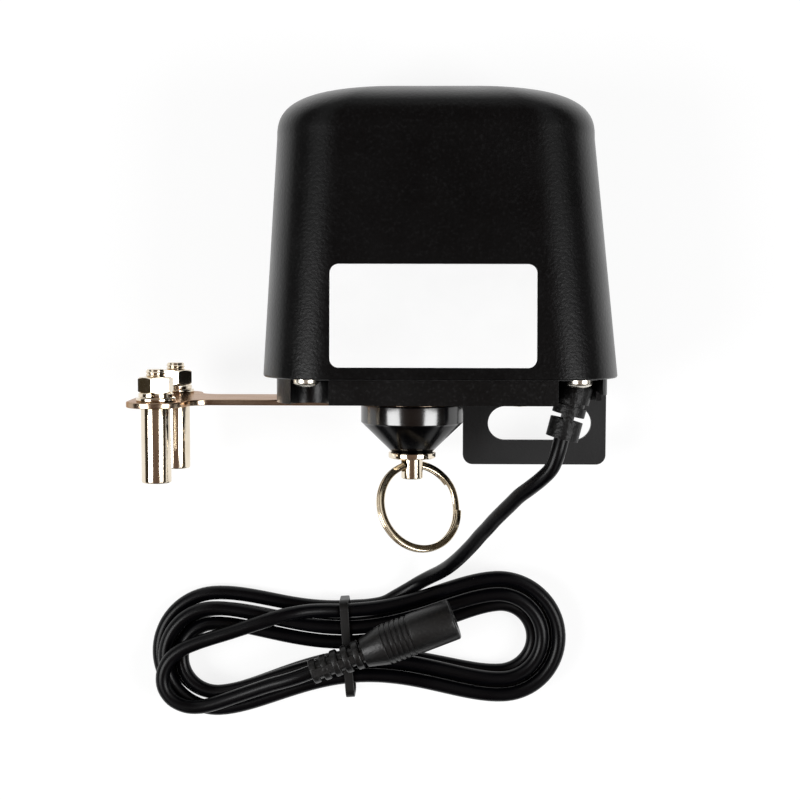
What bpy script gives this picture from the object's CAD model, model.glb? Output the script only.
"""Looks of the valve controller, lying on its back on a white table."""
import math

import bmesh
import bpy
from mathutils import Matrix, Vector


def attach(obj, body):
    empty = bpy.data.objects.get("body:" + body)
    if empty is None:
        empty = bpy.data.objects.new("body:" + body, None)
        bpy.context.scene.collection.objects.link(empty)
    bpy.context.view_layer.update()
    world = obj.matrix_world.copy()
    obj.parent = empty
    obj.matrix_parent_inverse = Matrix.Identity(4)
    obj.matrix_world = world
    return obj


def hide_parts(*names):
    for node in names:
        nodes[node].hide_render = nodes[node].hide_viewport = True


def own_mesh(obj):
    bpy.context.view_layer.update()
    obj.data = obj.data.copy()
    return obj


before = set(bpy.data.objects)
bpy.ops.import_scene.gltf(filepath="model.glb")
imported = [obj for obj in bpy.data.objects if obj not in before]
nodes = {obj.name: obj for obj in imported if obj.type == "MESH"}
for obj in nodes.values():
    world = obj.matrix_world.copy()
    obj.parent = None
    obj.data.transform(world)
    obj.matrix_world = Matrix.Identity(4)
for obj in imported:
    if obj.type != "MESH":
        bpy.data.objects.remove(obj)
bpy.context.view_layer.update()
scene = bpy.context.scene
scene.view_settings.view_transform = "Standard"
MM = 0.001
QUARTER, HALF, WHOLE = math.pi / 2, math.pi, 2 * math.pi

# Sizes in millimetres, as in the part's source. Upright places are measured from the base's underside.
BASE_H = 6.4
COVER_W, COVER_D, COVER_H = 88.8, 72.0, 72.4
FRONT_LEAN, LEFT_LEAN, RIGHT_LEAN = (math.tan(math.radians(a)) for a in (4, 3.2, 5.7))
ROW_MIDDLE = 42.4
AXIS_X = -7.2
ARM_TOP, ARM_LOW = -0.3, -1.8
CONE_SHOULDER, CONE_FLOOR, CONE_LOW = -6.7, -12.8, -14.6
CLIP_LOW = -7.0
DISC_LOW = -16.3
RING_HOLE_Z = -18.1
ARM_REACH = 65
POST_X = AXIS_X - ARM_REACH
POST_Y = (-16, 16)
CORD_R = 2.0


def row(x, y, z):
    """An upright place, laid on its back in the row frame, in metres."""
    return Vector((x, z - ROW_MIDDLE, COVER_D / 2 - y)) * MM


def at_axis(x, y, z):
    """An upright place measured from the output axis."""
    return row(AXIS_X + x, y, z)


def at_post(post_y):
    """Places measured from a post's axis."""
    return lambda x, y, z: row(POST_X + x, post_y + y, z)


# Camera

CAMERA_AT = Vector((-2.404, -11.345, 456.37))
CAMERA_TURN = (-0.0761, 0.0192, 0.0018)
LENS, SENSOR = 72.0, 36.0
CLIP_NEAR, CLIP_FAR = 0.01, 20.0


def make_camera():
    data = bpy.data.cameras.new("camera")
    data.lens = LENS
    data.sensor_width = SENSOR
    data.clip_start = CLIP_NEAR
    data.clip_end = CLIP_FAR
    cam = bpy.data.objects.new("camera", data)
    cam.location = CAMERA_AT * MM
    cam.rotation_euler = CAMERA_TURN
    scene.collection.objects.link(cam)
    scene.camera = cam


make_camera()


# Materials

NOISE_LOW, NOISE_HIGH = 0.3, 0.7
GRAIN_LIGHT, GRAIN_SPECK = 0.57, 0.72
PLASTIC_TINT, PLASTIC_GLOSS, METAL_TINT, CLEAR_TINT, CLEAR_GLOSS = 60.0, 90.0, 120.0, 200.0, 500.0
MARK_STRENGTH, MARK_DEPTH = 0.1, 0.00001
DULL_SPAN = 0.5


def new_material(name):
    mat = bpy.data.materials.new(name)
    mat.use_nodes = True
    tree = mat.node_tree
    return mat, tree, tree.nodes["Principled BSDF"]


def coords(tree):
    return tree.nodes.new("ShaderNodeTexCoord").outputs["Object"]


def noise(tree, scale, detail=2.0, rough=0.5, vector=None):
    node = tree.nodes.new("ShaderNodeTexNoise")
    node.inputs["Scale"].default_value = scale
    node.inputs["Detail"].default_value = detail
    node.inputs["Roughness"].default_value = rough
    tree.links.new(vector or coords(tree), node.inputs["Vector"])
    return node.outputs["Fac"]


def ramp(tree, value, stops):
    node = tree.nodes.new("ShaderNodeValToRGB")
    points = node.color_ramp.elements
    while len(points) < len(stops):
        points.new(0.5)
    for point, (at, colour) in zip(points, stops):
        point.position = at
        point.color = (*colour, 1.0)
    tree.links.new(value, node.inputs["Fac"])
    return node.outputs["Color"]


def two_tone(tree, value, dark, light):
    return ramp(tree, value, [(NOISE_LOW, dark), (NOISE_HIGH, light)])


def spread(tree, value, low, high, start=NOISE_LOW, stop=NOISE_HIGH):
    """Maps a value's span from start to stop onto the span from low to high."""
    node = tree.nodes.new("ShaderNodeMapRange")
    node.inputs["From Min"].default_value = start
    node.inputs["From Max"].default_value = stop
    node.inputs["To Min"].default_value = low
    node.inputs["To Max"].default_value = high
    tree.links.new(value, node.inputs["Value"])
    return node.outputs["Result"]


def bump(tree, height, strength, depth):
    node = tree.nodes.new("ShaderNodeBump")
    node.inputs["Strength"].default_value = strength
    node.inputs["Distance"].default_value = depth
    tree.links.new(height, node.inputs["Height"])
    return node.outputs["Normal"]


def plastic(name, dark, light, rough, grain, depth, strength, specular=0.5, speck=None, rim=None):
    """Moulded plastic: fine grain, slow changes of gloss, and uneven colour or light specks on the grain.

    With rim, the surface is glossier where it is seen at a low angle.
    """
    mat, tree, shader = new_material(name)
    link = tree.links.new
    fine = noise(tree, grain)
    if speck:
        tint = ramp(tree, fine, [(NOISE_LOW, dark), (GRAIN_LIGHT, light), (GRAIN_SPECK, speck)])
    else:
        tint = two_tone(tree, noise(tree, PLASTIC_TINT, detail=3.0), dark, light)
    link(tint, shader.inputs["Base Color"])
    link(spread(tree, noise(tree, PLASTIC_GLOSS, detail=4.0), *rough), shader.inputs["Roughness"])
    link(bump(tree, fine, strength, depth), shader.inputs["Normal"])
    shader.inputs["Specular IOR Level"].default_value = specular
    if rim:
        facing = tree.nodes.new("ShaderNodeLayerWeight").outputs["Facing"]
        link(spread(tree, facing, specular, rim), shader.inputs["Specular IOR Level"])
    return mat


def metal(name, dark, light, rough, scale, stretch=(1, 1, 1), edge=(1, 1, 1)):
    """Plated or ground metal, with fine marks that run along the short side of stretch.

    The edge colour tints what is seen at a low angle.
    """
    mat, tree, shader = new_material(name)
    link = tree.links.new
    mapping = tree.nodes.new("ShaderNodeMapping")
    mapping.inputs["Scale"].default_value = stretch
    link(coords(tree), mapping.inputs["Vector"])
    marks = noise(tree, scale, detail=4.0, rough=0.6, vector=mapping.outputs["Vector"])
    link(two_tone(tree, noise(tree, METAL_TINT, detail=3.0), dark, light), shader.inputs["Base Color"])
    link(spread(tree, marks, *rough), shader.inputs["Roughness"])
    link(bump(tree, marks, MARK_STRENGTH, MARK_DEPTH), shader.inputs["Normal"])
    shader.inputs["Metallic"].default_value = 1.0
    shader.inputs["Specular Tint"].default_value = (*edge, 1.0)
    return mat


def dull_below(mat, height, above, below):
    """Turns a plastic's gloss down past a height along Y."""
    tree = mat.node_tree
    parts = tree.nodes.new("ShaderNodeSeparateXYZ")
    tree.links.new(coords(tree), parts.inputs[0])
    level = spread(tree, parts.outputs["Y"], below, above, height - DULL_SPAN * MM, height)
    tree.links.new(level, tree.nodes["Principled BSDF"].inputs["Specular IOR Level"])


def clear(name, dark, light, rough, transmission, ior):
    """Clear moulded plastic."""
    mat, tree, shader = new_material(name)
    link = tree.links.new
    link(two_tone(tree, noise(tree, CLEAR_TINT), dark, light), shader.inputs["Base Color"])
    link(spread(tree, noise(tree, CLEAR_GLOSS, detail=3.0), *rough), shader.inputs["Roughness"])
    shader.inputs["Transmission Weight"].default_value = transmission
    shader.inputs["IOR"].default_value = ior
    return mat


COVER = plastic("cover_grain", (0.0012, 0.0012, 0.0013), (0.0022, 0.0021, 0.0023), rough=(0.29, 0.36),
                grain=1300.0, depth=0.0001, strength=0.7, specular=0.13, speck=(0.0056, 0.0056, 0.0059),
                rim=0.85)
BASE = plastic("base_grain", (0.0012, 0.0012, 0.0013), (0.0024, 0.0024, 0.0026), rough=(0.28, 0.36),
               grain=1300.0, depth=0.0001, strength=0.7, specular=0.2, speck=(0.01, 0.01, 0.0104))
LABEL = plastic("label_film", (0.84, 0.84, 0.84), (0.87, 0.87, 0.87), rough=(0.4, 0.5),
                grain=1500.0, depth=0.00001, strength=0.2, specular=0.3)
ZINC = metal("zinc_plate", (0.62, 0.58, 0.5), (0.78, 0.74, 0.66), rough=(0.18, 0.34), scale=500.0)
NICKEL = metal("bright_nickel", (0.76, 0.66, 0.52), (0.86, 0.77, 0.63), rough=(0.06, 0.12), scale=260.0,
               stretch=(1, 0.2, 1))
RING = metal("ring_nickel", (0.66, 0.55, 0.38), (0.78, 0.67, 0.5), rough=(0.08, 0.15), scale=260.0)
ARM = metal("arm_nickel", (0.38, 0.29, 0.21), (0.47, 0.37, 0.28), rough=(0.14, 0.24), scale=420.0,
            stretch=(0.15, 1, 1), edge=(0.7, 0.5, 0.37))
CONE = plastic("cone_black", (0.0005, 0.0005, 0.0008), (0.001, 0.001, 0.0015), rough=(0.12, 0.22),
               grain=700.0, depth=0.000006, strength=0.2, specular=0.9)
dull_below(CONE, row(0, 0, CONE_SHOULDER).y, above=0.9, below=0.15)
BRACKET = plastic("powder_coat", (0.008, 0.008, 0.0085), (0.012, 0.012, 0.0125), rough=(0.5, 0.62),
                  grain=1400.0, depth=0.00007, strength=0.6, specular=0.25)
STEEL = metal("ground_steel", (0.48, 0.48, 0.48), (0.6, 0.6, 0.6), rough=(0.25, 0.4), scale=700.0,
              stretch=(1, 8, 1))
BRASS = metal("turned_brass", (0.62, 0.44, 0.17), (0.74, 0.56, 0.26), rough=(0.2, 0.32), scale=700.0,
              stretch=(1, 8, 1))
ACETAL = plastic("acetal", (0.74, 0.73, 0.68), (0.82, 0.81, 0.76), rough=(0.38, 0.5),
                 grain=900.0, depth=0.00002, strength=0.2)
MASK = plastic("solder_mask", (0.01, 0.07, 0.025), (0.02, 0.11, 0.04), rough=(0.25, 0.4),
               grain=700.0, depth=0.00002, strength=0.2)
PART = plastic("black_moulding", (0.008, 0.008, 0.0085), (0.013, 0.013, 0.0135), rough=(0.35, 0.48),
               grain=1800.0, depth=0.00004, strength=0.4, specular=0.35)
WHITE = plastic("white_moulding", (0.68, 0.67, 0.6), (0.76, 0.75, 0.69), rough=(0.4, 0.52),
                grain=1200.0, depth=0.00002, strength=0.2)
CLEAR = clear("clear_moulding", (0.86, 0.9, 0.93), (0.95, 0.97, 0.98), rough=(0.04, 0.12),
              transmission=0.85, ior=1.49)
CORD = plastic("cord_pvc", (0.0006, 0.0006, 0.001), (0.0012, 0.0012, 0.0019), rough=(0.26, 0.34),
               grain=1200.0, depth=0.00001, strength=0.25, specular=0.14)
SOCKET = plastic("socket_pvc", (0.002, 0.002, 0.0021), (0.0035, 0.0034, 0.0035), rough=(0.32, 0.42),
                 grain=1500.0, depth=0.00009, strength=0.7, specular=0.34, speck=(0.008, 0.008, 0.0082))
GLAND = plastic("gland_rubber", (0.001, 0.001, 0.0011), (0.0022, 0.0022, 0.0023), rough=(0.34, 0.46),
                grain=1100.0, depth=0.00022, strength=1.0, specular=0.2, speck=(0.014, 0.014, 0.014))
TIE = plastic("tie_coat", (0.002, 0.002, 0.002), (0.0035, 0.0035, 0.0035), rough=(0.36, 0.46),
              grain=1500.0, depth=0.00004, strength=0.4, specular=0.3)

LOOKS = {
    COVER: ["cover"], BASE: ["base_plate"], LABEL: ["blank_label"],
    ZINC: ["case_screws", "plate_screws", "motor_screws", "board_screws", "bracket_screws"],
    STEEL: ["gear_plate", "motor_gearbox", "motor_can", "radio_module", "output_spindle", "gear_circlip",
            "motor_shaft", "clutch_key", "pin_clip", "clutch_spring"],
    BRASS: ["output_bush", "upper_bush", "drive_pinion"], MASK: ["circuit_board"],
    PART: ["tact_switch", "button_cap"], WHITE: ["board_connector"], ACETAL: ["output_gear"],
    CLEAR: ["status_led", "light_guide"], BRACKET: ["mount_bracket"],
    SOCKET: ["dc_socket_body"], GLAND: ["cord_gland"], TIE: ["cord_tie"],
    CORD: ["power_cord_lead", "power_cord_hank", "power_cord_tail", "inner_leads"],
    NICKEL: ["dc_socket_contact", "arm_posts", "post_washers", "post_nuts", "pull_pin"],
    ARM: ["drive_arm"], CONE: ["clutch_cone"], RING: ["pull_ring"],
}
for mat, names in LOOKS.items():
    for name in names:
        slots = nodes[name].data.materials
        slots.clear()
        slots.append(mat)


# Making pieces

def finish_piece(obj, body, mat, replaces, slot):
    """Gives a piece its material, its body, the nodes it stands for and the slot of its finish."""
    obj.data.materials.clear()
    obj.data.materials.append(mat)
    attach(obj, body)
    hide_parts(*replaces)
    return obj


def mesh_object(name, verts, faces, sharp=35.0):
    mesh = bpy.data.meshes.new(name)
    mesh.from_pydata([tuple(v) for v in verts], [], faces)
    bm = bmesh.new()
    bm.from_mesh(mesh)
    bmesh.ops.remove_doubles(bm, verts=bm.verts, dist=1e-7)
    bmesh.ops.recalc_face_normals(bm, faces=bm.faces)
    bm.to_mesh(mesh)
    bm.free()
    obj = bpy.data.objects.new(name, mesh)
    scene.collection.objects.link(obj)
    smooth(obj, sharp)
    return obj


def smooth(obj, sharp):
    """Shades a piece smoothly, except over edges sharper than an angle."""
    obj.data.shade_smooth()
    obj.data.set_sharp_from_angle(angle=math.radians(sharp))


def apply_modifiers(obj):
    """Bakes an object's modifiers into its mesh."""
    bpy.context.view_layer.update()
    made = obj.evaluated_get(bpy.context.evaluated_depsgraph_get())
    mesh = bpy.data.meshes.new_from_object(made)
    obj.modifiers.clear()
    obj.data = mesh


def shade_flats(obj):
    """Keeps large faces flat in the shading where they meet small ones."""
    obj.modifiers.new("weighted", "WEIGHTED_NORMAL").keep_sharp = True
    apply_modifiers(obj)


def soften(name, width):
    """A copy of a node with its hard edges rounded."""
    merge, same_plane, hard, smooth_to = 2e-6, math.radians(0.5), math.radians(40), 50.0
    mesh = nodes[name].data.copy()
    obj = bpy.data.objects.new(name + "_soft", mesh)
    scene.collection.objects.link(obj)
    bm = bmesh.new()
    bm.from_mesh(mesh)
    bmesh.ops.remove_doubles(bm, verts=bm.verts, dist=merge)
    bmesh.ops.dissolve_limit(bm, angle_limit=same_plane, verts=bm.verts, edges=bm.edges)
    bm.to_mesh(mesh)
    bm.free()
    bevel = obj.modifiers.new("bevel", "BEVEL")
    bevel.width = width * MM
    bevel.segments = 2
    bevel.limit_method = "ANGLE"
    bevel.angle_limit = hard
    bevel.use_clamp_overlap = True
    apply_modifiers(obj)
    smooth(obj, smooth_to)
    shade_flats(obj)
    return obj


def rounded(profile):
    """A profile of (radius, height, fillet) corners as points, with its fillets drawn in."""
    steps = 4
    out = []
    count = len(profile)
    for i, (r, z, f) in enumerate(profile):
        here = Vector((r, z))
        if f <= 0 or i in (0, count - 1):
            out.append(here)
            continue
        a = (Vector(profile[i - 1][:2]) - here).normalized()
        b = (Vector(profile[i + 1][:2]) - here).normalized()
        half = a.angle(b) / 2
        back = f / math.tan(half)
        centre = here + (a + b).normalized() * (f / math.sin(half))
        start = here + a * back - centre
        stop = here + b * back - centre
        first = math.atan2(start.y, start.x)
        span = (math.atan2(stop.y, stop.x) - first + HALF) % WHOLE - HALF
        for k in range(steps + 1):
            t = first + span * k / steps
            out.append(centre + f * Vector((math.cos(t), math.sin(t))))
    return out


def skin(loops, size, wrap=False, closed=True):
    """Faces between loops of points. Wrap joins the last loop to the first, closed each loop's own ends."""
    faces = []
    for i in range(loops if wrap else loops - 1):
        j = (i + 1) % loops
        for k in range(size if closed else size - 1):
            n = (k + 1) % size
            faces.append((i * size + k, i * size + n, j * size + n, j * size + k))
    return faces


def caps(loops, size):
    """The two end faces of a swept piece."""
    return [tuple(range(size)), tuple((loops - 1) * size + k for k in range(size))]


def around(place, r, a, z):
    """A place at a radius, an angle and a height."""
    return place(r * math.cos(a), r * math.sin(a), z)


def turned(name, profile, place, sides=96, closed=False):
    """A turned piece: a profile of (radius, height) swept round an upright axis."""
    verts = [around(place, r, WHOLE * s / sides, z) for s in range(sides) for r, z in profile]
    return mesh_object(name, verts, skin(sides, len(profile), wrap=True, closed=closed))


def box_piece(name, low, high, place):
    corners = [(x, y, z) for x in (low[0], high[0]) for y in (low[1], high[1]) for z in (low[2], high[2])]
    faces = [(0, 1, 3, 2), (4, 6, 7, 5), (0, 4, 5, 1), (2, 3, 7, 6), (0, 2, 6, 4), (1, 5, 7, 3)]
    return mesh_object(name, [place(*c) for c in corners], faces)


def cut(obj, cutter):
    """Takes one piece's shape out of another."""
    boolean = obj.modifiers.new("cut", "BOOLEAN")
    boolean.operation = "DIFFERENCE"
    boolean.solver = "EXACT"
    boolean.object = cutter
    apply_modifiers(obj)
    bpy.data.objects.remove(cutter)


def joined(name, parts):
    """One piece from several."""
    bm = bmesh.new()
    for part in parts:
        bm.from_mesh(part.data)
    mesh = bpy.data.meshes.new(name)
    bm.to_mesh(mesh)
    bm.free()
    for part in parts:
        bpy.data.objects.remove(part)
    obj = bpy.data.objects.new(name, mesh)
    scene.collection.objects.link(obj)
    return obj


# Power cord

HANK_AT = Vector((-23, -116.2, 0))
HANK_LOW, HANK_LAYER, HANK_STEP, HANK_LOOPS = 3.2, 4.7, 4.7, 4
HANK_END_R, HANK_REACH, HANK_WAIST, HANK_OUT = 18.0, 40.5, 10.5, 0.35
HANK_TURN = math.radians(4)
HANK_DIR = Vector((math.cos(HANK_TURN), math.sin(HANK_TURN), 0))
HANK_SIDE = Vector((-math.sin(HANK_TURN), math.cos(HANK_TURN), 0))
HANK_FIRST = HANK_AT + Vector((0, 0, HANK_LOW)) + (HANK_WAIST + HANK_OUT) * HANK_SIDE
HANK_LAST = HANK_FIRST + Vector((0, 0, HANK_LAYER))
GLAND_AT, GLAND_LEN, GLAND_LEAN = Vector((35.2, -36, 50)), 16.5, math.radians(14.5)
GLAND_DIR = Vector((-math.sin(GLAND_LEAN), -math.cos(GLAND_LEAN), 0))
GLAND_TIP = GLAND_AT + GLAND_LEN * GLAND_DIR
SOCKET_AT = Vector((-35.4, -121.4, 16))
SOCKET_TURN = math.radians(21)
SOCKET_DIR = Vector((math.cos(SOCKET_TURN), math.sin(SOCKET_TURN), 0))
SOCKET_SIDE = Vector((-math.sin(SOCKET_TURN), math.cos(SOCKET_TURN), 0))

LEAD = [
    GLAND_TIP, GLAND_TIP + 2 * CORD_R * GLAND_DIR,
    (28.6, -59.8, 49.3), (26.1, -62.8, 47.6), (23.4, -65.4, 45.3), (20.8, -67.8, 42.8), (18.7, -70.4, 40.1),
    (16.7, -72.9, 37.4), (14.8, -75.4, 34.5), (13, -78, 31.7), (11.2, -80.5, 28.8), (9.5, -83.1, 25.9),
    (7.7, -85.6, 23), (5.9, -88, 20), (4.1, -90.2, 16.9), (2.3, -92.2, 13.7), (0.2, -94.1, 10.5),
    (-2.3, -95.9, 7.5), (-5.2, -97.9, 5.2), (-8.4, -100.1, 3.9), (-11.8, -102.2, 3.3),
    (-15.4, -104.2, HANK_LOW),
    HANK_FIRST + 2 * CORD_R * HANK_DIR, HANK_FIRST,
]
TAIL = [
    HANK_LAST, HANK_LAST - 2 * CORD_R * HANK_DIR,
    (-31.9, -105.5, 8.7), (-36, -105.4, 9.9), (-40.1, -105.7, 11.2), (-44.2, -106.4, 12.1),
    (-48.3, -107.6, 12.6), (-52.3, -108.9, 12.8), (-56.4, -110.3, 12.8), (-60.4, -111.6, 12.8),
    (-64.5, -112.9, 12.7), (-68.5, -114.3, 12.7), (-72.4, -116.1, 12.7), (-75.7, -118.8, 12.7),
    (-77.6, -122.6, 12.7), (-77.5, -126.8, 12.7), (-75.2, -130.3, 12.7), (-71.4, -132.2, 12.7),
    (-67.2, -132.4, 12.7), (-63, -131.4, 12.8), (-59, -130, 13), (-55, -128.5, 13.4), (-51.1, -127, 14),
    (-47.1, -125.5, 14.7), (-43.1, -124.2, 15.5),
    SOCKET_AT - 2 * CORD_R * SOCKET_DIR, SOCKET_AT,
]


def curve_through(points, steps):
    """A smooth curve through points."""
    pts = [Vector(p) for p in points]
    out = []
    for i in range(len(pts) - 1):
        a, b, c, d = pts[max(i - 1, 0)], pts[i], pts[i + 1], pts[min(i + 2, len(pts) - 1)]
        for k in range(steps):
            t = k / steps
            out.append(0.5 * (2 * b + (c - a) * t + (2 * a - 5 * b + 4 * c - d) * t * t
                              + (3 * b - a - 3 * c + d) * t ** 3))
    return out + [pts[-1]]


def loop_point(u):
    """A place on the hank's outer loop, for a part u of a turn. Two runs and two ends take a quarter each."""
    quarter = 0.25
    v = (u + quarter / 2) % 1.0
    side = 1 if v < 2 * quarter else -1
    v %= 2 * quarter
    if v < quarter:
        x = HANK_REACH * (1 - 2 * v / quarter)
        away = 1 - (x / HANK_REACH) ** 2
        return side * Vector((x, HANK_END_R - (HANK_END_R - HANK_WAIST) * away * away))
    a = QUARTER + HALF * (v - quarter) / quarter
    return side * Vector((-HANK_REACH + HANK_END_R * math.cos(a), HANK_END_R * math.sin(a)))


def ease(t):
    t = min(max(t, 0.0), 1.0)
    return t * t * (3 - 2 * t)


def hank_point(t):
    """A place on the hank after t turns: inwards on the lower layer, then outwards on the upper one."""
    nudge, out_until, middle = 1e-4, 0.06, HANK_LOOPS / 2
    along = (loop_point(t + nudge) - loop_point(t - nudge)).normalized()
    near_end = min(t, HANK_LOOPS - t)
    inset = HANK_STEP * near_end - HANK_OUT * (1 - ease(near_end / out_until))
    at = loop_point(t)
    z = HANK_LOW + HANK_LAYER * ease(t - middle + 0.5)
    return (HANK_AT + Vector((0, 0, z)) + (at.x - inset * along.y) * HANK_DIR
            + (at.y + inset * along.x) * HANK_SIDE)


def make_cord():
    loop_steps, point_steps = 160, 5
    hank = [hank_point(i / loop_steps) for i in range(1, HANK_LOOPS * loop_steps)]
    path = [p * MM for p in curve_through(LEAD, point_steps) + hank + curve_through(TAIL, point_steps)]
    data = bpy.data.curves.new("power_cord", "CURVE")
    data.dimensions = "3D"
    data.bevel_depth = CORD_R * MM
    data.bevel_resolution = 5
    data.use_fill_caps = True
    spline = data.splines.new("POLY")
    spline.points.add(len(path) - 1)
    for point, at in zip(spline.points, path):
        point.co = (*at, 1.0)
    spline.use_smooth = True
    obj = bpy.data.objects.new("power_cord", data)
    scene.collection.objects.link(obj)
    length = sum((b - a).length for a, b in zip(path, path[1:]))
    finish_piece(obj, "case", CORD, ["power_cord_lead", "power_cord_hank", "power_cord_tail"], "cord_black")
    return obj, length


cord, cord_length = make_cord()


# Stage, in metres

TABLE_HALF, TABLE_DROP = 6.0, 0.0002
TABLE_TINT, TABLE_DARK, TABLE_LIGHT = 3.0, (0.9, 0.9, 0.9), (0.93, 0.93, 0.93)
TABLE_ROUGH, TABLE_SPECULAR = 0.9, 0.1
TABLE_GLOW, TABLE_GLOW_SHARE = 1.06, 0.8
WORLD_LIGHT, WORLD_SEEN = 0.2, 1.0
LAMP_X, LAMP_Y, LAMP_Z, LAMP_SIZE, LAMP_WATTS = 0.44, -0.13, 0.53, (0.26, 0.34), 2.9
LAMP_TARGET = Vector((0, -0.06, 0.04))
CARD_END, CARD_TINT = 1.2, 4.0
BROWN = (0.12, 0.08, 0.062), (0.19, 0.135, 0.105)
BLACK = (0.006, 0.006, 0.006), (0.012, 0.012, 0.012)
OLIVE = (0.03, 0.024, 0.016), (0.06, 0.05, 0.035)


def seen_rays(tree):
    """1 for camera, glossy and transmission rays."""
    rays = tree.nodes.new("ShaderNodeLightPath")
    total = rays.outputs["Is Camera Ray"]
    for name in ("Is Glossy Ray", "Is Transmission Ray"):
        add = tree.nodes.new("ShaderNodeMath")
        add.operation = "MAXIMUM"
        tree.links.new(total, add.inputs[0])
        tree.links.new(rays.outputs[name], add.inputs[1])
        total = add.outputs[0]
    return total


def flat_object(name, corners):
    mesh = bpy.data.meshes.new(name)
    mesh.from_pydata(corners, [], [(0, 1, 2, 3)])
    obj = bpy.data.objects.new(name, mesh)
    scene.collection.objects.link(obj)
    return obj


def make_table():
    """A white table that keeps the object's shadow."""
    half = TABLE_HALF
    table = flat_object("table", [(-half, -half, 0), (half, -half, 0), (half, half, 0), (-half, half, 0)])
    table.location.z = -TABLE_DROP
    mat, tree, shader = new_material("table_white")
    link = tree.links.new
    link(two_tone(tree, noise(tree, TABLE_TINT), TABLE_DARK, TABLE_LIGHT), shader.inputs["Base Color"])
    shader.inputs["Roughness"].default_value = TABLE_ROUGH
    shader.inputs["Specular IOR Level"].default_value = TABLE_SPECULAR
    glow = tree.nodes.new("ShaderNodeEmission")
    glow.inputs["Strength"].default_value = TABLE_GLOW
    mix = tree.nodes.new("ShaderNodeMixShader")
    share = tree.nodes.new("ShaderNodeMath")
    share.operation = "MULTIPLY"
    share.inputs[1].default_value = TABLE_GLOW_SHARE
    link(seen_rays(tree), share.inputs[0])
    link(share.outputs[0], mix.inputs["Fac"])
    link(shader.outputs[0], mix.inputs[1])
    link(glow.outputs[0], mix.inputs[2])
    link(mix.outputs[0], tree.nodes["Material Output"].inputs["Surface"])
    table.data.materials.append(mat)


def make_world():
    world = bpy.data.worlds.new("studio")
    scene.world = world
    world.use_nodes = True
    tree = world.node_tree
    back = tree.nodes["Background"]
    back.inputs["Color"].default_value = (1, 1, 1, 1)
    tree.links.new(spread(tree, seen_rays(tree), WORLD_LIGHT, WORLD_SEEN, 0, 1), back.inputs["Strength"])


def softbox(name, at):
    data = bpy.data.lights.new(name, "AREA")
    data.shape = "RECTANGLE"
    data.size, data.size_y = LAMP_SIZE
    data.energy = LAMP_WATTS
    lamp = bpy.data.objects.new(name, data)
    lamp.location = at
    lamp.rotation_euler = (LAMP_TARGET - Vector(at)).to_track_quat("-Z", "Y").to_euler()
    scene.collection.objects.link(lamp)


def card(name, corners, colours):
    """A studio card that only reflections see, which gives bright metal its bands."""
    obj = flat_object(name, corners)
    mat, tree, _ = new_material(name)
    glow = tree.nodes.new("ShaderNodeEmission")
    tree.links.new(two_tone(tree, noise(tree, CARD_TINT), *colours), glow.inputs["Color"])
    tree.links.new(glow.outputs[0], tree.nodes["Material Output"].inputs["Surface"])
    obj.data.materials.append(mat)
    obj.visible_camera = False
    obj.visible_diffuse = False
    obj.visible_shadow = False
    obj.visible_transmission = False


def across(half, near, far):
    """Corners of a card that spans X, from one (y, z) to another."""
    return [(-half, *near), (half, *near), (half, *far), (-half, *far)]


def beside(low, high):
    """Corners of a card that runs along Y, from one (x, z) to another."""
    return [(low[0], -CARD_END, low[1]), (low[0], CARD_END, low[1]),
            (high[0], CARD_END, high[1]), (high[0], -CARD_END, high[1])]


make_table()
make_world()
for side, name in ((-1, "softbox_left"), (1, "softbox_right")):
    softbox(name, (side * LAMP_X, LAMP_Y, LAMP_Z))
card("card_over", across(half=0.28, near=(-CARD_END, 0.62), far=(CARD_END, 0.62)), BROWN)
card("card_floor", across(half=0.6, near=(-0.24, 0.0004), far=(-CARD_END, 0.0004)), BLACK)
card("card_low", across(half=0.6, near=(-1.0, 0.0), far=(-1.1, 0.6)), BLACK)
for side, name in ((-1, "card_left"), (1, "card_right")):
    card(name, beside(low=(side * 0.9, 0.1), high=(side * 0.7, 0.5)), OLIVE)


# Cover

CORNER_R, WALL = 17.0, 2.5
CROWN_H, CROWN_SIDE, CROWN_FRONT, CROWN_CORNER_R, CROWN_POWER = 13.2, 32.5, 20.0, 4.5, 0.7
SHOULDER = COVER_H - CROWN_H
BUTTON_X, BUTTON_R, BUTTON_GAP = -14.0, 5.5, 0.3
LIGHT_Y, LIGHT_R, LIGHT_GAP = 14.0, 2.0, 0.05


def cover_outline(rise, part, inset):
    """The cover's outline at a rise over its open edge; part runs from 0 at the shoulder to 1 at the top."""
    steps = 14
    up = min(rise, SHOULDER)
    left = COVER_W / 2 - up * LEFT_LEAN - inset - part * CROWN_SIDE
    right = COVER_W / 2 - up * RIGHT_LEAN - inset - part * CROWN_SIDE
    front = COVER_D / 2 - up * FRONT_LEAN - inset - part * CROWN_FRONT
    back = COVER_D / 2 - inset - part * CROWN_FRONT
    r = CORNER_R - inset - part * (CORNER_R - CROWN_CORNER_R)
    centres = (right - r, back - r), (r - left, back - r), (r - left, r - front), (right - r, r - front)
    out = []
    for k, (x, y) in enumerate(centres):
        for i in range(steps + 1):
            a = QUARTER * (k + i / steps)
            out.append(row(x + r * math.cos(a), y + r * math.sin(a), BASE_H + rise))
    return out


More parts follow.
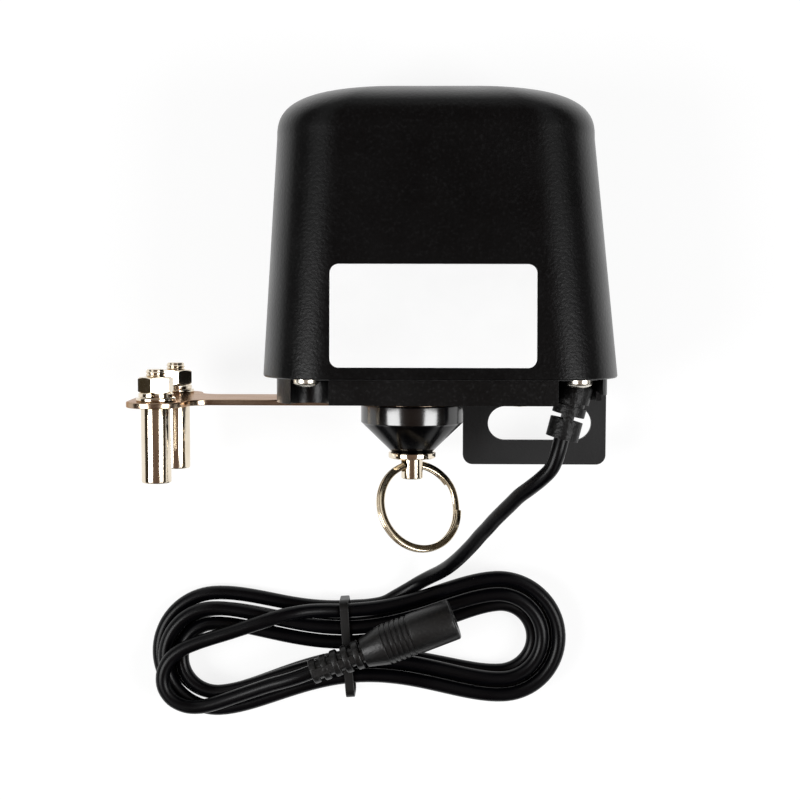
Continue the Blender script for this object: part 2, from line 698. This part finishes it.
def make_cover():
    """A shell with leaning sides, a rounded lower edge, a crown, and holes for the button and the light."""
    edge, edge_steps, side_steps, crown_steps = 0.6, 5, 6, 24
    hole_low, hole_high, hole_sides = 70, 84, 64
    levels = [(edge * (1 - math.cos(a)), 0.0, edge * (1 - math.sin(a)))
              for a in (QUARTER * k / edge_steps for k in range(edge_steps + 1))]
    levels += [(edge + (SHOULDER - edge) * k / side_steps, 0.0, 0.0) for k in range(1, side_steps + 1)]
    levels += [(SHOULDER + CROWN_H * math.sin(a) ** CROWN_POWER, 1 - math.cos(a) ** CROWN_POWER, 0.0)
               for a in (QUARTER * k / crown_steps for k in range(1, crown_steps))]
    levels.append((COVER_H, 1.0, 0.0))
    rings = [cover_outline(*level) for level in levels]
    count = len(rings[0])
    verts = [v for outline in rings for v in outline]
    obj = mesh_object("cover_shell", verts, skin(len(rings), count) + caps(len(rings), count)[1:])
    wall = obj.modifiers.new("wall", "SOLIDIFY")
    wall.thickness = WALL * MM
    wall.offset = -1.0
    apply_modifiers(obj)
    for x, y, r in ((BUTTON_X, 0, BUTTON_R + BUTTON_GAP), (BUTTON_X, LIGHT_Y, LIGHT_R + LIGHT_GAP)):
        hole = [(0, hole_low), (r, hole_low), (r, hole_high), (0, hole_high)]
        cut(obj, turned("hole", hole, lambda a, b, c, x=x, y=y: row(x + a, y + b, c), hole_sides))
    smooth(obj, sharp=30.0)
    shade_flats(obj)
    finish_piece(obj, "case", COVER, ["cover"], "cover_black")


make_cover()


# Posts, nuts and washers

POST_R, POST_LOW, STUD_R, STUD_TOP = 3.8, -21.1, 2.5, 7.9
WASHER_R, WASHER_BORE, WASHER_TOP = 5, 2.6, 0.7
NUT_LOW, NUT_HIGH, NUT_FLATS, NUT_BORE = 1.9, 5.9, 8.0, 2.53
NUT_TURNS = (math.radians(24), math.radians(48))


def make_post(name, y):
    """A plain post below the arm and a threaded stud above it."""
    sides, pitch, depth, start, steps = 40, 0.8, 0.26, 0.02, 110
    tip_h, tip_in, end_h, end_in = 0.5, 0.35, 0.1, 0.6
    steep, crest = 1.6, 0.3
    body = rounded([(0, POST_LOW, 0), (POST_R, POST_LOW, 0.45), (POST_R, ARM_LOW, 0.15),
                    (STUD_R, ARM_LOW, 0)])
    heights = [ARM_LOW + start + (STUD_TOP - tip_h - ARM_LOW) * k / steps for k in range(steps + 1)]
    levels = [(r, z, 0) for r, z in body] + [(STUD_R, z, depth) for z in heights]
    levels += [(STUD_R - tip_in, STUD_TOP - end_h, 0), (STUD_R - end_in, STUD_TOP, 0), (0, STUD_TOP, 0)]
    verts = []
    for r, z, thread in levels:
        for k in range(sides):
            wave = abs(((z / pitch + k / sides) % 1.0) * 2 - 1)
            groove = thread * min(1.0, max(0.0, wave * steep - crest))
            verts.append(around(at_post(y), r - groove, WHOLE * k / sides, z))
    return mesh_object(name, verts, skin(len(levels), sides), sharp=40.0)


def make_nut(name, y, turn):
    """A hexagonal nut with both faces chamfered and a countersunk hole."""
    per_side, face_share, sink = 10, 0.985, 0.35
    sides = 6 * per_side
    tan30 = math.tan(math.radians(30))
    heights = [0, 0.08, 0.16, 0.26, 0.38, 0.5, 0.62]
    levels = [(NUT_LOW + h, h) for h in heights] + [(NUT_HIGH - h, h) for h in reversed(heights)]
    half = NUT_FLATS / 2
    verts = []
    for z, depth in levels:
        for k in range(sides):
            part = (k % per_side) / per_side * HALF / 3 - HALF / 6
            rad = min(half / math.cos(part), half * face_share + depth / tan30)
            verts.append(around(at_post(y), rad, WHOLE * k / sides + turn, z))
    bore = [(NUT_BORE + sink, NUT_HIGH), (NUT_BORE, NUT_HIGH - sink), (NUT_BORE, NUT_LOW + sink),
            (NUT_BORE + sink, NUT_LOW)]
    verts += [around(at_post(y), rad, WHOLE * k / sides + turn, z) for rad, z in bore for k in range(sides)]
    return mesh_object(name, verts, skin(len(levels) + len(bore), sides, wrap=True), sharp=25.0)


def make_lock_washer(name, y):
    """A spring washer: a ring of square wire, cut through and a little sprung."""
    sides, outer, spring, half_gap, corner, flank = 64, 4.4, 0.1, 0.5, 0.15, 0.75
    gap = math.asin(half_gap / outer)
    section = [(WASHER_BORE, -1), (outer - corner, -1), (outer, -flank), (outer, flank), (outer - corner, 1),
               (WASHER_BORE, 1)]
    middle, half = (WASHER_TOP + NUT_LOW) / 2, (NUT_LOW - WASHER_TOP) / 2 - spring
    verts = []
    for i in range(sides + 1):
        part = i / sides
        a = -QUARTER + gap + (WHOLE - 2 * gap) * part
        verts += [around(at_post(y), r, a, middle + half * side + spring * (2 * part - 1))
                  for r, side in section]
    size = len(section)
    return mesh_object(name, verts, skin(sides + 1, size) + caps(sides + 1, size), sharp=30.0)


def make_washer(name, y):
    middle = (ARM_TOP + WASHER_TOP) / 2
    profile = [(WASHER_BORE, middle, 0), (WASHER_BORE, WASHER_TOP, 0.1), (WASHER_R, WASHER_TOP, 0.2),
               (WASHER_R, ARM_TOP, 0.2), (WASHER_BORE, ARM_TOP, 0.1), (WASHER_BORE, middle, 0)]
    return turned(name, rounded(profile), at_post(y), sides=72)


posts = joined("threaded_posts", [make_post("post", y) for y in POST_Y])
finish_piece(posts, "output", NICKEL, ["arm_posts"], "nickel")
nuts = joined("chamfered_nuts", [make_nut("nut", y, turn) for y, turn in zip(POST_Y, NUT_TURNS)])
finish_piece(nuts, "output", NICKEL, ["post_nuts"], "nickel")
washers = joined("round_washers", [make_washer("washer", y) for y in POST_Y]
                 + [make_lock_washer("lock_washer", y) for y in POST_Y])
finish_piece(washers, "output", NICKEL, ["post_washers"], "nickel")


# Clutch: cone, pull pin, ring and spring

CONE_R, CONE_TIP_R, CONE_BORE = 13.5, 5.4, 2.9
SPRING_ROOM_R, THREAD_R, THREAD_LOW = 4.9, 6.03, -5.8
PIN_R, PIN_TOP, PIN_END, DISC_R, RING_HOLE_R = 2.85, 13.9, 5.5, 6.25, 1.75
RING_R, RING_W, RING_T, RING_GAP = 12.25, 1.8, 0.85, 0.1
RING_TURN, RING_SWING, RING_SPLIT = math.radians(30), math.radians(20), math.radians(100)


def make_cone():
    profile = [(THREAD_R, ARM_LOW, 0), (CONE_R, ARM_LOW, 0.45), (CONE_R, CONE_SHOULDER, 0.3),
               (CONE_TIP_R, CONE_LOW, 0.3), (CONE_BORE, CONE_LOW, 0.1), (CONE_BORE, CONE_FLOOR, 0),
               (SPRING_ROOM_R, CONE_FLOOR, 0), (SPRING_ROOM_R, THREAD_LOW, 0), (THREAD_R, THREAD_LOW, 0)]
    cone = turned("clutch_cone_turned", rounded(profile), at_axis, sides=160, closed=True)
    finish_piece(cone, "output", CONE, ["clutch_cone"], "cone_black")


def make_pin():
    """The pull pin, with its disc and the cross hole that the ring goes through."""
    low = DISC_LOW - PIN_END
    profile = [(0, low, 0), (PIN_R, low, 0.4), (PIN_R, DISC_LOW, 0.12), (DISC_R, DISC_LOW, 0.4),
               (DISC_R, CONE_LOW, 0.4), (PIN_R, CONE_LOW, 0), (PIN_R, PIN_TOP, 0.3), (0, PIN_TOP, 0)]
    pin = turned("pull_pin_turned", rounded(profile), at_axis)
    turn = Matrix.Rotation(RING_TURN, 3, "Z") @ Matrix.Rotation(QUARTER, 3, "Y")

    def at_hole(x, y, z):
        at = turn @ Vector((x, y, z))
        return at_axis(at.x, at.y, at.z + RING_HOLE_Z)

    reach = 8
    hole = [(0, -reach), (RING_HOLE_R, -reach), (RING_HOLE_R, reach), (0, reach)]
    cut(pin, turned("cross_hole", hole, at_hole, sides=48))
    smooth(pin, sharp=35.0)
    finish_piece(pin, "pull", NICKEL, ["pull_pin"], "nickel")


def make_ring():
    """A split ring: one flat strip with round edges that makes two coils and steps between them."""
    steps, corner_steps, round_r, step = 240, 5, 0.36, math.radians(20)
    middle = RING_R - RING_W / 2
    lift = (RING_T + RING_GAP) / 2
    first, last = step, 2 * WHOLE - step
    place = (Matrix.Rotation(RING_TURN, 4, "Z") @ Matrix.Rotation(-RING_SWING, 4, "X")
             @ Matrix.Rotation(QUARTER, 4, "X") @ Matrix.Translation((0, -middle, 0))
             @ Matrix.Rotation(RING_SPLIT, 4, "Z"))
    half_w, half_t = RING_W / 2 - round_r, RING_T / 2 - round_r
    section = []
    for k, (sx, sy) in enumerate(((1, 1), (-1, 1), (-1, -1), (1, -1))):
        for i in range(corner_steps + 1):
            a = QUARTER * (k + i / corner_steps)
            section.append((sx * half_w + round_r * math.cos(a), sy * half_t + round_r * math.sin(a)))
    verts = []
    for i in range(steps + 1):
        a = first + (last - first) * i / steps
        part = max(-1.0, min(1.0, (a - WHOLE) / step))
        z = lift * math.sin(QUARTER * part)
        for dr, dz in section:
            r = middle + dr
            at = place @ Vector((r * math.sin(a), -r * math.cos(a), z + dz))
            verts.append(at_axis(at.x, at.y, at.z + RING_HOLE_Z))
    size = len(section)
    ring = mesh_object("split_ring", verts, skin(steps + 1, size) + caps(steps + 1, size), sharp=40.0)
    finish_piece(ring, "ring", RING, ["pull_ring"], "nickel")


def make_spring():
    """The coil round the pull pin. It shortens between the cone's floor and the pin's clip."""
    coil_r, wire_r, turns, steps, sides, seat = 3.75, 0.25, 4, 160, 12, 0.02
    low, high = CONE_FLOOR + wire_r + seat, CLIP_LOW - wire_r - seat
    verts = []
    for i in range(steps + 1):
        z = low + (high - low) * i / steps
        for k in range(sides):
            b = WHOLE * k / sides
            verts.append(around(at_axis, coil_r + wire_r * math.cos(b), WHOLE * turns * i / steps,
                                z + wire_r * math.sin(b)))
    spring = mesh_object("coil_spring", verts, skin(steps + 1, sides) + caps(steps + 1, sides), sharp=40.0)
    finish_piece(spring, "output", STEEL, ["clutch_spring"], "steel")
    tuple(at_axis(0, 0, CONE_FLOOR))
    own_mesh(spring)


make_cone()
make_pin()
make_ring()
make_spring()


# Case screws

SCREW_X, SCREW_Y, SCREW_RIGHT = 33.6, 28.0, 0.6
HEAD_R, HEAD_H, HEAD_RIM, HEAD_EDGE = 3.2, 2.2, 0.9, 0.12
SHANK_R, SHANK_LEN, SHANK_TIP_R, SHANK_TIP_H = 1.5, 14, 0.9, 0.8
RECESS_LONG, RECESS_WIDE, RECESS_DEEP = 1.92, 0.45, 1


def make_screw(x, y):
    """A pan-head screw, with a domed crown, a thin rim and a cross recess."""
    def place(a, b, c):
        return row(x + a, y + b, c)

    steps = 10
    top, crown, tip = BASE_H, BASE_H - HEAD_H, BASE_H + SHANK_LEN
    profile = [(HEAD_R * math.sin(t), crown + (HEAD_H - HEAD_RIM) * (1 - math.cos(t)))
               for t in (QUARTER * k / steps for k in range(steps + 1))]
    profile += [(HEAD_R, top - HEAD_EDGE), (HEAD_R - HEAD_EDGE, top), (SHANK_R, top),
                (SHANK_R, tip - SHANK_TIP_H), (SHANK_TIP_R, tip), (0, tip)]
    screw = turned("pan_screw", profile, place, sides=64)
    for long, wide in ((RECESS_LONG, RECESS_WIDE), (RECESS_WIDE, RECESS_LONG)):
        cut(screw, box_piece("recess", (-long, -wide, crown - RECESS_DEEP), (long, wide, crown + RECESS_DEEP),
                             place))
    smooth(screw, sharp=35.0)
    return screw


screws = joined("pan_screws", [make_screw(SCREW_RIGHT + sx * SCREW_X, sy * SCREW_Y)
                               for sx in (-1, 1) for sy in (-1, 1)])
finish_piece(screws, "case", ZINC, ["case_screws"], "zinc")


# Copies with softened edges: node, edge width, body, material, slot

SOFT = [
    ("base_plate", 0.35, "case", BASE, "base_black"),
    ("drive_arm", 0.3, "output", ARM, "arm_plate"),
    ("mount_bracket", 0.4, "case", BRACKET, "bracket_black"),
    ("bracket_screws", 0.18, "case", ZINC, "zinc"),
    ("cord_gland", 0.2, "case", GLAND, "socket_black"),
    ("blank_label", 0.06, "case", LABEL, "label_white"),
    ("button_cap", 0.3, "button", PART, "part_black"),
    ("cord_tie", 0.2, "case", TIE, "tie_black"),
]
soft = {node_name: finish_piece(soften(node_name, width), body, mat, [node_name], slot)
        for node_name, width, body, mat, slot in SOFT}


# Socket

SOCKET_R, SOCKET_BORE, SOCKET_BORE_DEEP = 5.75, 2.8, 9.5
TAIL_LEN, TAIL_CORE, TAIL_RIBS, SHOULDER_LEN, GRIP_LEN, BARREL_LEN = 16.1, 2.7, 5, 6.0, 9.0, 11.7
RIB_R, RIB_GROWS, RIB_SHARE = 3.5, 0.15, 0.6
GRIP_RINGS, GRIP_DEEP = 6, 0.35


def at_socket(x, y, z):
    return (SOCKET_AT + z * SOCKET_DIR + y * SOCKET_SIDE + Vector((0, 0, -x))) * MM


def make_socket():
    """The inline socket: a ribbed tail with two spines, a shoulder, a ringed grip and a bored barrel."""
    pitch, step = TAIL_LEN / TAIL_RIBS, GRIP_LEN / GRIP_RINGS
    neck, neck_r = TAIL_LEN - 0.5, 4.2
    groove_from, groove_to, ring_from, ring_to = 0.02, 0.38, 0.5, step - 0.06
    spine_r, spine_half_t, spine_half_w, spine_from, spine_to = 3.1, 0.5, 1.1, 0.4, TAIL_LEN - 0.2
    grip = TAIL_LEN + SHOULDER_LEN
    end = grip + GRIP_LEN + BARREL_LEN
    profile = [(0, 0, 0)]
    for i in range(TAIL_RIBS):
        rib = RIB_R + RIB_GROWS * i
        low = i * pitch
        high = low + RIB_SHARE * pitch
        if i:
            profile.append((TAIL_CORE, low, 0.15))
        profile += [(rib, low, 0.4), (rib, high, 0.4), (TAIL_CORE, high, 0.15)]
    profile += [(TAIL_CORE, neck, 0.15), (neck_r, neck, 0.4), (SOCKET_R, grip, 0.2)]
    for i in range(GRIP_RINGS):
        at = grip + i * step
        profile += [(SOCKET_R - GRIP_DEEP, at + groove_from, 0), (SOCKET_R - GRIP_DEEP, at + groove_to, 0),
                    (SOCKET_R, at + ring_from, 0.08), (SOCKET_R, at + ring_to, 0.08)]
    profile += [(SOCKET_R, end, 0.7), (SOCKET_BORE, end, 0.25), (SOCKET_BORE, end - SOCKET_BORE_DEEP, 0),
                (0, end - SOCKET_BORE_DEEP, 0)]
    body = turned("socket_body", rounded(profile), at_socket, sides=88)
    spines = [box_piece("spine", (side * spine_r - spine_half_t, -spine_half_w, spine_from),
                        (side * spine_r + spine_half_t, spine_half_w, spine_to), at_socket)
              for side in (-1, 1)]
    return joined("dc_socket_turned", [body] + spines)


socket = finish_piece(make_socket(), "case", SOCKET, ["dc_socket_body"], "socket_black")
